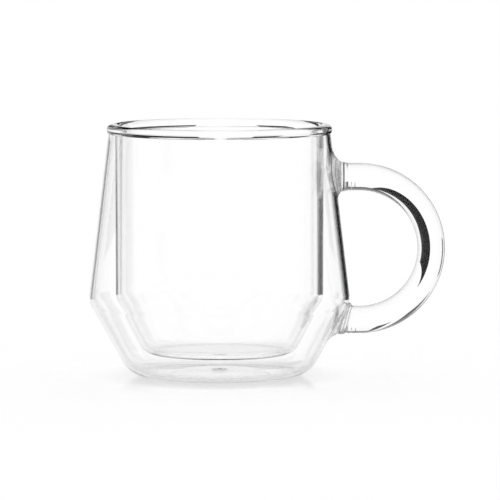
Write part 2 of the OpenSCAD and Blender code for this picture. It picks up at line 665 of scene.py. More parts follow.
def turned_tree() -> bpy.types.NodeTree:
    """Makes the Geometry Nodes tree that turns an outline round the upright axis.

    The grid has one line for each turn step and one point for each point of the outline. Each of the grid's
    points takes its radius and height from the outline, and its direction from its line.

    Returns:
        The tree.
    """
    tree, given = new_tree("turned_glass", TURNED_INPUTS, "Turned")
    outline, steps = given["Outline"], given["Steps"]
    count = add_node(tree, "GeometryNodeAttributeDomainSize", inputs={"Geometry": outline})
    columns = add_node(tree, "ShaderNodeMath", {"operation": "ADD"}, {0: steps, 1: 1.0})
    grid, column, row = lay_grid(tree, columns, count.outputs["Point Count"])
    where = add_node(tree, "GeometryNodeInputPosition")
    sample = add_node(
        tree,
        "GeometryNodeSampleIndex",
        {"data_type": "FLOAT_VECTOR", "domain": "POINT"},
        {"Geometry": outline, "Value": where, "Index": row},
    )
    split = add_node(tree, "ShaderNodeSeparateXYZ", inputs={0: sample})
    share = add_node(tree, "ShaderNodeMath", {"operation": "DIVIDE"}, {0: column, 1: steps})
    angle = add_node(tree, "ShaderNodeMath", {"operation": "MULTIPLY"}, {0: share, 1: math.tau})
    across = []
    for operation in ("COSINE", "SINE"):
        turn = add_node(tree, "ShaderNodeMath", {"operation": operation}, {0: angle})
        part = add_node(tree, "ShaderNodeMath", {"operation": "MULTIPLY"}, {0: split.outputs["X"], 1: turn})
        across.append(part)
    place = add_node(
        tree, "ShaderNodeCombineXYZ", inputs={"X": across[0], "Y": across[1], "Z": split.outputs["Z"]}
    )
    settle_grid(tree, grid, place, given["Glass"])
    return tree


ROD_INPUTS = (
    ("Path", "Geometry"),
    ("Sides", "Int"),
    ("Radius", "Float"),
    ("Ridge Height", "Float"),
    ("Ridge Spacing", "Float"),
    ("Ridge Fade", "Float"),
    ("Glass", "Material"),
)
ROD_PATH_VALUES = (
    ("position", "FLOAT_VECTOR"),
    ("across", "FLOAT_VECTOR"),
    ("along", "FLOAT_VECTOR"),
    ("run", "FLOAT"),
    ("lean", "FLOAT"),
)
# Each row: the result's name, the sum, and its numbers or the names of earlier results. First comes the angle
# round the ring, then the ridge, then the radius, and how far the point lies up and out
ROD_SUMS = (
    ("side_share", "DIVIDE", "side", "Sides"),
    ("angle", "MULTIPLY", "side_share", math.tau),
    ("fade_length", "DIVIDE", "run", "Ridge Fade"),
    ("fading", "MULTIPLY", "fade_length", -1.0),
    ("fade", "EXPONENT", "fading"),
    ("ridges", "DIVIDE", "run", "Ridge Spacing"),
    ("phase", "MULTIPLY", "ridges", math.tau),
    ("wave", "COSINE", "phase"),
    ("faded_wave", "MULTIPLY", "fade", "wave"),
    ("ridge", "MULTIPLY", "faded_wave", "Ridge Height"),
    ("radius", "ADD", "Radius", "ridge"),
    ("upright", "COSINE", "angle"),
    ("level", "SINE", "angle"),
    ("up", "MULTIPLY", "radius", "upright"),
    ("out", "MULTIPLY", "radius", "level"),
    ("tilt", "MULTIPLY", "up", "lean"),
)


def rod_tree() -> bpy.types.NodeTree:
    """Makes the Geometry Nodes tree that draws the glass rod along its path.

    The path is a row of points. Each has the direction across the rod in the handle's plane, the direction
    along it, its distance from the nearer weld, and how far its ring leans. The melt leaves ridges that fade
    away from each weld.

    Returns:
        The tree.
    """
    tree, given = new_tree("drawn_rod", ROD_INPUTS, "Rod")
    path = given["Path"]
    count = add_node(tree, "GeometryNodeAttributeDomainSize", inputs={"Geometry": path})
    columns = add_node(tree, "ShaderNodeMath", {"operation": "ADD"}, {0: given["Sides"], 1: 1.0})
    grid, ring, side = lay_grid(tree, count.outputs["Point Count"], columns)
    values = given | {"side": side}
    for name, kind in ROD_PATH_VALUES:
        if name == "position":
            source = add_node(tree, "GeometryNodeInputPosition")
        else:
            source = add_node(tree, "GeometryNodeInputNamedAttribute", {"data_type": kind}, {"Name": name})
        values[name] = add_node(
            tree,
            "GeometryNodeSampleIndex",
            {"data_type": kind, "domain": "POINT"},
            {"Geometry": path, "Value": source, "Index": ring},
        )
    for name, operation, *numbers in ROD_SUMS:
        inputs = {socket: values.get(number, number) for socket, number in enumerate(numbers)}
        values[name] = add_node(tree, "ShaderNodeMath", {"operation": operation}, inputs)
    place = values["position"]
    for direction, length in (("across", "up"), ("along", "tilt")):
        inputs = {0: values[direction], "Scale": values[length]}
        reach = add_node(tree, "ShaderNodeVectorMath", {"operation": "SCALE"}, inputs)
        place = add_node(tree, "ShaderNodeVectorMath", {"operation": "ADD"}, {0: place, 1: reach})
    sideways = add_node(tree, "ShaderNodeCombineXYZ", inputs={"Y": values["out"]})
    place = add_node(tree, "ShaderNodeVectorMath", {"operation": "ADD"}, {0: place, 1: sideways})
    settle_grid(tree, grid, place, given["Glass"])
    return tree


def from_tree(
    name: str, start: bpy.types.Mesh, tree: bpy.types.NodeTree, values: dict[str, object]
) -> bpy.types.Mesh:
    """Runs a Geometry Nodes tree on a mesh and keeps the result as a plain mesh.

    Args:
        name: The result's name.
        start: The mesh that the tree reads.
        tree: The tree.
        values: The tree's inputs by name.

    Returns:
        The new mesh.
    """
    holder = bpy.data.objects.new(f"{name}_start", start)
    bpy.context.scene.collection.objects.link(holder)
    modifier = holder.modifiers.new(tree.name, "NODES")
    modifier.node_group = tree
    for item in tree.interface.items_tree:
        if item.in_out == "INPUT" and item.name in values:
            modifier[item.identifier] = values[item.name]
    graph = bpy.context.evaluated_depsgraph_get()
    mesh = bpy.data.meshes.new_from_object(holder.evaluated_get(graph))
    mesh.name = name
    holder.modifiers.clear()
    bpy.data.objects.remove(holder)
    return mesh


@dataclass(frozen=True)
class Finishes:
    """The materials and trees that the glass pieces share."""

    glass: bpy.types.Material
    rod: bpy.types.Material
    joint: bpy.types.Material
    turned: bpy.types.NodeTree
    drawn: bpy.types.NodeTree


@dataclass
class Piece:
    """A piece of the mug. All of them share the sizes and the finishes."""

    sizes: MugSizes
    finishes: Finishes

    def dress(self, mesh: bpy.types.Mesh, node: str, slot: str) -> bpy.types.Object:
        """Makes the piece's object and puts it in the place of its solid.

        Args:
            mesh: The piece's mesh in metres.
            node: The solid that it stands for.
            slot: The record's material slot.

        Returns:
            The piece.
        """
        mesh.materials.clear()
        mesh.materials.append(self.finishes.rod if slot == "rod_glass" else self.finishes.glass)
        mesh.materials.append(self.finishes.joint)
        piece = bpy.data.objects.new(f"{node}_glass", mesh)
        bpy.context.scene.collection.objects.link(piece)
        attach(piece, BODY)
        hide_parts(node)
        log.info("%s: %d faces", piece.name, len(mesh.polygons))
        return piece


@dataclass
class Turned(Piece):
    """A piece of glass that is round about the cup's axis."""

    steps: int = 256

    def turn(self, name: str, outline: Profile, in_joint: Callable[[float, float], bool]) -> bpy.types.Mesh:
        """Turns a closed outline into a solid.

        Args:
            name: The mesh's name.
            outline: Radius and height in millimetres. It may start and end on the axis.
            in_joint: Says whether a face whose middle has this radius and height lies inside a joint.

        Returns:
            The mesh.
        """
        closed = outline if outline[0][0] == 0.0 and outline[-1][0] == 0.0 else outline + outline[:1]
        start = bpy.data.meshes.new(f"{name}_outline")
        start.from_pydata([(r * MM, 0.0, z * MM) for r, z in closed], [], [])
        values = {"Steps": self.steps, "Glass": self.finishes.glass}
        mesh = from_tree(name, start, self.finishes.turned, values)
        for polygon in mesh.polygons:
            corners = [mesh.vertices[i].co for i in polygon.vertices]
            radii = [math.hypot(c.x, c.y) / MM for c in corners]
            heights = [c.z / MM for c in corners]
            middle = (min(radii) + max(radii)) / 2, (min(heights) + max(heights)) / 2
            polygon.material_index = (Skin.JOINT if in_joint(*middle) else Skin.GLASS).value
        return finish_mesh(mesh)


@dataclass
class InnerGlass(Turned):
    """The blown inner glass: a straight tube that narrows to a flat bottom with a rounded edge."""

    foot_steps: int = 24
    bend_steps: int = 16
    cone_steps: int = 8
    wall_steps: int = 24

    def path(self, inset: float) -> Profile:
        """Gives one face's outline, from the axis up to the bead.

        Args:
            inset: How far the face is set in from the outside, in millimetres.

        Returns:
            The outline.
        """
        s = self.sizes
        shoulder = s.belly_z + s.shoulder_rise
        foot_r = s.liner_r - s.foot_in
        lean = math.atan2(s.foot_in, shoulder - s.foot_z)
        foot_c = corner_centre((foot_r, s.foot_z), lean, math.pi / 2, s.foot_round)
        shoulder_c = corner_centre((s.liner_r, shoulder), 0.0, lean, s.shoulder_round)
        middle = (0.0, s.foot_z + inset)
        foot = arc(foot_c, s.foot_round - inset, -math.pi / 2, -lean, self.foot_steps)
        bend = arc(shoulder_c, s.shoulder_round - inset, -lean, 0.0, self.bend_steps)
        top = (s.liner_r - inset, s.bead_z)
        return (
            [middle]
            + straight(middle, foot[0], self.cone_steps)
            + foot
            + straight(foot[-1], bend[0], self.cone_steps)
            + bend
            + straight(bend[-1], top, self.wall_steps)
            + [top]
        )

    def build(self) -> bpy.types.Object:
        """Builds and dresses the piece.

        Returns:
            The piece.
        """
        s = self.sizes
        outline = self.path(0.0) + list(reversed(self.path(s.liner_t)))
        mesh = self.turn("inner_liner", outline, lambda r, z: z > s.bead_z - IN_PLANE)
        return self.dress(mesh, "inner_liner", "blown_glass")


@dataclass
class RimBead(Turned):
    """The bead where both glasses are melted together, rounded by the flame.

    The flame rolls a little more glass to the bead's inside, and draws the gap's closed end up into an arch.
    Both sides leave the glasses with a small neck.
    """

    roll: float = 0.25
    out_neck: float = 0.4
    out_neck_rise: float = 0.1
    out_low: float = 0.6
    side_rise: float = 0.4
    in_neck: float = 0.05
    in_neck_rise: float = 0.5
    in_low: float = 0.7
    arch_rise: float = 0.8
    arch_swell: float = 0.1
    out_steps: int = 14
    crown_steps: int = 64
    in_steps: int = 10
    arch_steps: int = 12
    seat_steps: int = 4

    def crown(self, outer: float, inner: float, wide: float) -> Profile:
        """Gives the bead's top, without its two ends.

        Args:
            outer: The bead's outside radius, where the top starts.
            inner: Its inside radius.
            wide: The height at which it is widest.

        Returns:
            The top's points.
        """
        s = self.sizes
        middle, half, power = (outer + inner) / 2, (outer - inner) / 2, 2 / s.bead_power
        found = []
        for i in range(1, self.crown_steps):
            turn = math.pi * i / self.crown_steps
            level, rise = math.cos(turn), math.sin(turn)
            reach = math.copysign(abs(level) ** power, level)
            side = wide + (self.side_rise if level > 0 else 0.0)
            found.append((middle + half * reach, side + (s.bead_z + s.bead_h - side) * rise**power))
        return found

    def arch(self) -> Profile:
        """Gives the closed end of the gap, from the inner glass to the outer one.

        Returns:
            The arch's points.
        """
        s = self.sizes
        middle, half = (s.liner_r + s.shell_in_top_r) / 2, s.mouth_gap / 2
        found = []
        for i in range(self.arch_steps + 1):
            turn = math.pi * i / self.arch_steps
            reach = half + self.arch_swell * math.sin(turn)
            found.append((middle - reach * math.cos(turn), s.bead_z + self.arch_rise * math.sin(turn)))
        return found

    def path(self) -> Profile:
        """Gives the outline, starting at the outer glass's outside and going over the top.

        Returns:
            The outline.
        """
        s = self.sizes
        foot, wide = s.bead_z, s.bead_z + s.bead_wide_z
        outer, inner = s.rim_d / 2, s.liner_in_r - s.bead_in - self.roll
        out_side = cubic(
            [
                (s.shell_top_r, foot),
                (s.shell_top_r + self.out_neck, foot + self.out_neck_rise),
                (outer, foot + self.out_low),
                (outer, wide + self.side_rise),
            ],
            self.out_steps,
        )
        in_side = cubic(
            [
                (inner, wide),
                (inner, foot + self.in_low),
                (s.liner_in_r - self.in_neck, foot + self.in_neck_rise),
                (s.liner_in_r, foot),
            ],
            self.in_steps,
        )
        arch = self.arch()
        under_liner = straight(in_side[-1], arch[0], self.seat_steps)
        under_shell = straight(arch[-1], out_side[0], self.seat_steps)
        return out_side + self.crown(outer, inner, wide) + in_side + under_liner + arch + under_shell

    def build(self) -> bpy.types.Object:
        """Builds and dresses the piece.

        Returns:
            The piece.
        """
        foot = self.sizes.bead_z
        mesh = self.turn("rim_bead", self.path(), lambda r, z: z < foot + IN_PLANE)
        return self.dress(mesh, "rim_bead", "melted_glass")


@dataclass
class VentSeal(Turned):
    """The drop of glass that closes the vent hole in the base, pulled off in the flame."""

    steps: int = 64
    dimple_depth: float = 0.25
    dimple_steps: int = 8
    drop_steps: int = 16
    seat_steps: int = 3

    def build(self) -> bpy.types.Object:
        """Builds and dresses the piece.

        Returns:
            The piece.
        """
        s = self.sizes
        stem, rest, under, top = s.vent_d / 2, s.seal_d / 2, s.dish_h, s.dish_h + s.shell_t
        dimple, drop = [], []
        for i in range(self.dimple_steps + 1):
            share = i / self.dimple_steps
            dimple.append((stem * share, top - self.dimple_depth * (1 - share**2) ** 2))
        shaft = straight(dimple[-1], (stem, under), self.seat_steps) + [(stem, under)]
        seat = straight(shaft[-1], (rest, under), self.seat_steps)
        for i in range(self.drop_steps):
            turn = math.pi / 2 * i / self.drop_steps
            drop.append((rest * math.cos(turn), under - s.seal_h * math.sin(turn)))
        drop.append((0.0, under - s.seal_h))

        def in_joint(r: float, z: float) -> bool:
            """Says whether a place on the seal touches the base: on its stem, or on its seat."""
            return (abs(r - stem) < IN_PLANE and under < z < top) or (r > stem and z > under - IN_PLANE)

        mesh = self.turn("base_seal", dimple + shaft + seat + drop, in_joint)
        return self.dress(mesh, "base_seal", "melted_glass")


# ---------------------------------------------------------------------------------------------------------
# Welds, the rod and the outer glass


class WeldPlace(Enum):
    """The rod's two ends."""

    UPPER = "upper_weld"
    LOWER = "lower_weld"


@dataclass
class Weld(Piece):
    """The melted glass between one end of the rod and the outer glass.

    It runs from the ring at the rod's end to a loop on the wall, which it meets without a crease. Its flare
    widens towards the wall, and the loop lies where the flare meets the wall. The wall is looked for along
    some lengths of the flare, by halving, and its slope is taken over the probe's length.
    """

    place: WeldPlace
    sides: int = 96
    rows: int = 28
    clearance: float = 0.3
    flare_margin: float = 0.6
    flare_search: float = 2.2
    halvings: int = 50
    leave_spread: float = 0.25
    pull: float = 0.9
    cap_shares: tuple[float, ...] = (0.8, 0.6, 0.4, 0.2)
    probe: float = 0.01

    @property
    def lean(self) -> float:
        """Lean of the rod's end face, in radians."""
        return math.radians(self.sizes.lower_lean) if self.place is WeldPlace.LOWER else 0.0

    @property
    def flare(self) -> float:
        """How far the flare runs towards the wall."""
        return self.sizes.upper_flare if self.place is WeldPlace.UPPER else self.sizes.lower_flare

    @property
    def width(self) -> float:
        """Half of the loop's width on the wall."""
        return (self.sizes.upper_weld_d if self.place is WeldPlace.UPPER else self.sizes.lower_weld_d) / 2

    @property
    def centre(self) -> Points:
        """Middle of the rod's end face."""
        s, upper = self.sizes, self.place is WeldPlace.UPPER
        return np.array([s.upper_end_x, 0.0, s.leg_top_z] if upper else [s.lower_end_x, 0.0, s.leg_low_z])

    @property
    def inward(self) -> Points:
        """Direction from the end face to the wall."""
        return np.array([-math.cos(self.lean), 0.0, math.sin(self.lean)])

    def outward(self, turn: float) -> Points:
        """Direction in the end face, at a turn from its highest point."""
        up = np.array([math.sin(self.lean), 0.0, math.cos(self.lean)])
        return up * math.cos(turn) + np.array([0.0, 1.0, 0.0]) * math.sin(turn)

    def depth(self, point: Points) -> float:
        """How far a point stands off the outer glass, in the radial direction."""
        return math.hypot(point[0], point[1]) - self.sizes.wall_r(float(point[2]))

    def normal(self, point: Points) -> Points:
        """Gives the outer glass's outward direction at a point on it.

        Args:
            point: The point.

        Returns:
            A direction of length 1.
        """
        z, step = float(point[2]), self.probe
        slope = (self.sizes.wall_r(z + step) - self.sizes.wall_r(z - step)) / (2 * step)
        around = math.atan2(point[1], point[0])
        found = np.array([math.cos(around), math.sin(around), -slope])
        return found / np.linalg.norm(found)

    def on_wall(self, around: float, height: float) -> Spot:
        """Gives the point of the outer glass at an angle and a height."""
        radius = self.sizes.wall_r(height)
        return radius * math.cos(around), radius * math.sin(around), height

    def start_radius(self, turn: float) -> float:
        """Gives the radius of the rod's end ring.

        Args:
            turn: The turn from the end face's highest point, in radians.

        Returns:
            The radius: the rod, its ridge and, below the belly, a lift.
        """
        s = self.sizes
        reach = s.rod_d / 2 / math.cos(self.lean * abs(math.cos(turn)))
        lift = s.lower_weld_rise * (1 + math.cos(turn)) if self.place is WeldPlace.LOWER else 0.0
        return reach + s.weld_ridge + lift

    def flared(self, turn: float, run: float) -> Points:
        """Gives a point of the flare.

        Args:
            turn: The turn from the end face's highest point, in radians.
            run: The distance from the end face towards the wall.

        Returns:
            The point.
        """
        start = self.start_radius(turn)
        widened = (self.width - start) * (run / self.flare) ** self.sizes.flare_power
        grown = start + self.flare_margin + widened
        return self.centre + self.inward * run + self.outward(turn) * grown

    @cached_property
    def start_ring(self) -> Points:
        """The rod's end ring, kept clear of the wall.

        Returns:
            One point for each side.
        """
        found = []
        for i in range(self.sides):
            turn = math.tau * i / self.sides
            point = self.centre + self.start_radius(turn) * self.outward(turn)
            short = self.clearance - self.depth(point)
            if short > 0:
                point = point - self.inward * short
            found.append(point)
        return np.array(found)

    @cached_property
    def footprint(self) -> Points:
        """The loop where the weld meets the wall, found by halving the way along the flare.

        Returns:
            One point for each side, on the outer glass.
        """
        found = []
        for i in range(self.sides):
            turn = math.tau * i / self.sides
            low, high = 0.0, self.flare * self.flare_search
            for _ in range(self.halvings):
                mid = (low + high) / 2
                if self.depth(self.flared(turn, mid)) > 0:
                    low = mid
                else:
                    high = mid
            point = self.flared(turn, (low + high) / 2)
            radius = self.sizes.wall_r(float(point[2])) / math.hypot(point[0], point[1])
            found.append(np.array([point[0] * radius, point[1] * radius, point[2]]))
        return np.array(found)

    @property
    def loop(self) -> list[Flat]:
        """The footprint as angles round the cup and heights."""
        return [(math.atan2(p[1], p[0]), float(p[2])) for p in self.footprint]

    def row(self, share: float) -> list[Spot]:
        """Gives one row of the weld's face.

        Each side leaves the rod's end ring towards the wall, and lands on the wall along its surface.

        Args:
            share: How far along the row lies, from 0 at the rod to 1 at the wall.

        Returns:
            The row's points.
        """
        square, cube = share**2, share**3
        at_start, leaving = 2 * cube - 3 * square + 1, cube - 2 * square + share
        at_end, landing = -2 * cube + 3 * square, cube - square
        found = []
        for i, (start, end) in enumerate(zip(self.start_ring, self.footprint)):
            way, face = self.outward(math.tau * i / self.sides), self.normal(end)
            leave = self.inward + self.leave_spread * way
            leave = leave / np.linalg.norm(leave)
            land = way - face * float(way @ face)
            land = land / np.linalg.norm(land)
            span = float(np.linalg.norm(end - start))
            point = at_start * start + leaving * span * self.pull * leave
            found.append(tuple(point + at_end * end + landing * span * self.pull * land))
        return found

    def cap(self, solid: Solid, last: list[int]) -> None:
        """Closes a solid with the face that the weld and the wall share.

        Args:
            solid: The solid.
            last: Its row of points on the loop.
        """
        loop = self.loop
        middle = sum(z for _, z in loop) / len(loop)
        for share in self.cap_shares:
            row = solid.ring([self.on_wall(a * share, middle + (z - middle) * share) for a, z in loop])
            solid.bridge(last, row, Skin.JOINT)
            last = row
        solid.fan(last, solid.ring([self.on_wall(0.0, middle)])[0], Skin.JOINT)

    def build(self) -> bpy.types.Object:
        """Builds and dresses the piece.

        Returns:
            The piece.
        """
        solid = Solid()
        rows = [solid.ring(self.row(k / self.rows)) for k in range(self.rows + 1)]
        for one, two in zip(rows, rows[1:]):
            solid.bridge(one, two, Skin.GLASS)
        hub = solid.ring([tuple(self.start_ring.mean(axis=0))])[0]
        solid.fan(rows[0], hub, Skin.JOINT)
        self.cap(solid, rows[-1])
        node = self.place.value
        return self.dress(solid.mesh(node), node, "melted_glass")


@dataclass(frozen=True)
class Station:
    """A ring of the rod: its middle, the directions across and along the rod, and how far the ring leans.

    The run is the distance along the rod to the nearer weld, in millimetres.
    """

    position: Spot
    across: Spot
    along: Spot
    run: float
    lean: float


@dataclass
class RodHandle(Piece):
    """The solid glass rod, bent into a C, with the ridges that the flame leaves beside each weld.

    Its rings stand an end step apart in the zone at each end. Over the end length they are drawn onto the
    weld's end ring, as far as they lie within the margin round the rod.
    """

    upper: Weld
    lower: Weld
    sides: int = 96
    ridge_height: float = 0.3
    ridge_spacing: float = 1.4
    ridge_fade: float = 1.6
    end_length: float = 2.4
    end_overlap: float = 0.5
    end_margin: float = 2.5
    end_zone: float = 6.0
    end_step: float = 0.1
    middle_steps: int = 150

    def stations(self) -> list[Station]:
        """Gives the rod's rings, which stand closer together beside the welds.

        Returns:
            The rings, from the upper weld to the lower one.
        """
        s = self.sizes
        bend_r = (s.leg_top_z - s.leg_low_z) / 2
        bend_z = (s.leg_top_z + s.leg_low_z) / 2
        top_len, low_len = s.bend_x - s.upper_end_x, s.bend_x - s.lower_end_x
        total = top_len + math.pi * bend_r + low_len
        ends = [self.end_step * i for i in range(round(self.end_zone / self.end_step))]
        steps = self.middle_steps
        middle = [self.end_zone + (total - 2 * self.end_zone) * i / steps for i in range(steps + 1)]
        # Rounded, so that a ring that two of the lists give comes once
        runs = sorted({round(run, 6) for run in ends + middle + [total - run for run in ends]})
        found = []
        for run in runs:
            if run <= top_len:
                place, across, along = (s.upper_end_x + run, s.leg_top_z), (0.0, 1.0), (1.0, 0.0)
            elif run >= total - low_len:
                place, across, along = (s.lower_end_x + total - run, s.leg_low_z), (0.0, -1.0), (-1.0, 0.0)
            else:
                turn = math.pi / 2 - (run - top_len) / bend_r
                across = (math.cos(turn), math.sin(turn))
                along = (across[1], -across[0])
                place = (s.bend_x + bend_r * across[0], bend_z + bend_r * across[1])
            left = total - run
            ease = max(0.0, 1 - left / self.end_zone)
            lean = math.tan(math.radians(s.lower_lean)) * ease * ease * (3 - 2 * ease)
            spots = ((x, 0.0, z) for x, z in (place, across, along))
            found.append(Station(*spots, run=min(run, left), lean=lean))
        return found

    def build(self) -> bpy.types.Object:
        """Builds and dresses the piece.

        Returns:
            The piece.
        """
        path = self.stations()
        start = bpy.data.meshes.new("handle_path")
        start.from_pydata([tuple(c * MM for c in ring.position) for ring in path], [], [])
        for name in ("across", "along"):
            layer = start.attributes.new(name, "FLOAT_VECTOR", "POINT")
            layer.data.foreach_set("vector", [c for ring in path for c in getattr(ring, name)])
        for name, unit in (("run", MM), ("lean", 1.0)):
            layer = start.attributes.new(name, "FLOAT", "POINT")
            layer.data.foreach_set("value", [getattr(ring, name) * unit for ring in path])
        values = {
            "Sides": self.sides,
            "Radius": self.sizes.rod_d / 2 * MM,
            "Ridge Height": self.ridge_height * MM,
            "Ridge Spacing": self.ridge_spacing * MM,
            "Ridge Fade": self.ridge_fade * MM,
            "Glass": self.finishes.glass,
        }
        mesh = from_tree("handle", start, self.finishes.drawn, values)
        self.close_ends(mesh)
        return self.dress(mesh, "handle", "rod_glass")

    def fit_end(self, work: bmesh.types.BMesh, weld: Weld) -> None:
        """Draws the rod's rings beside a weld onto the weld's end ring.

        Args:
            work: The rod. It is changed in place.
            weld: The weld.
        """
        ring, centre, inward = weld.start_ring * MM, weld.centre * MM, weld.inward
        limit = (self.sizes.rod_d / 2 + self.end_margin) * MM
        for vert in work.verts:
            offset = np.array(vert.co) - centre
            back = -float(offset @ inward) / MM
            side = offset + inward * back * MM
            if not -self.end_overlap < back < self.end_length or np.linalg.norm(side) > limit:
                continue
            turn = math.atan2(float(side[1]), float(side @ weld.outward(0.0))) % math.tau
            exact = turn / math.tau * self.sides
            low = int(math.floor(exact)) % self.sides
            target = ring[low] * (1 - exact % 1) + ring[(low + 1) % self.sides] * (exact % 1)
            ease = 1 - max(back, 0.0) / self.end_length
            weight = ease * ease * (3 - 2 * ease)
            aim = target - inward * back * MM
            vert.co = Vector(np.array(vert.co) * (1 - weight) + aim * weight)

    def close_ends(self, mesh: bpy.types.Mesh) -> None:
        """Fits the rod's ends to the welds and closes them.

        Args:
            mesh: The rod, open at both ends. It is changed in place.
        """
        work = bmesh.new()
        work.from_mesh(mesh)
        for weld in (self.upper, self.lower):
            self.fit_end(work, weld)
        halfway = (self.upper.centre[2] + self.lower.centre[2]) / 2 * MM
        for loop in self.open_loops([edge for edge in work.edges if edge.is_boundary]):
            ring = (self.upper if loop[0].co.z > halfway else self.lower).start_ring * MM
            for vert in loop:
                near = int(np.argmin(np.linalg.norm(ring - np.array(vert.co), axis=1)))
                vert.co = Vector(ring[near])
            hub = work.verts.new(Vector(ring.mean(axis=0)))
            for one, two in zip(loop, loop[1:] + loop[:1]):
                work.faces.new((one, two, hub)).material_index = Skin.JOINT.value
        work.to_mesh(mesh)
        work.free()
        finish_mesh(mesh)

    @staticmethod
    def open_loops(edges: Sequence[bmesh.types.BMEdge]) -> list[list[bmesh.types.BMVert]]:
        """Orders the open edges of a mesh into closed rows of points.

        Args:
            edges: The edges that have one face.

        Returns:
            The rows.
        """
        links: dict[bmesh.types.BMVert, list[bmesh.types.BMVert]] = {}
        for edge in edges:
            one, two = edge.verts
            links.setdefault(one, []).append(two)
            links.setdefault(two, []).append(one)
        loops, seen = [], set()
        for first in links:
            loop, following = [], [first]
            while following and following[0] not in seen:
                seen.add(following[0])
                loop.append(following[0])
                following = [vert for vert in links[following[0]] if vert not in seen]
            if loop:
                loops.append(loop)
        return loops


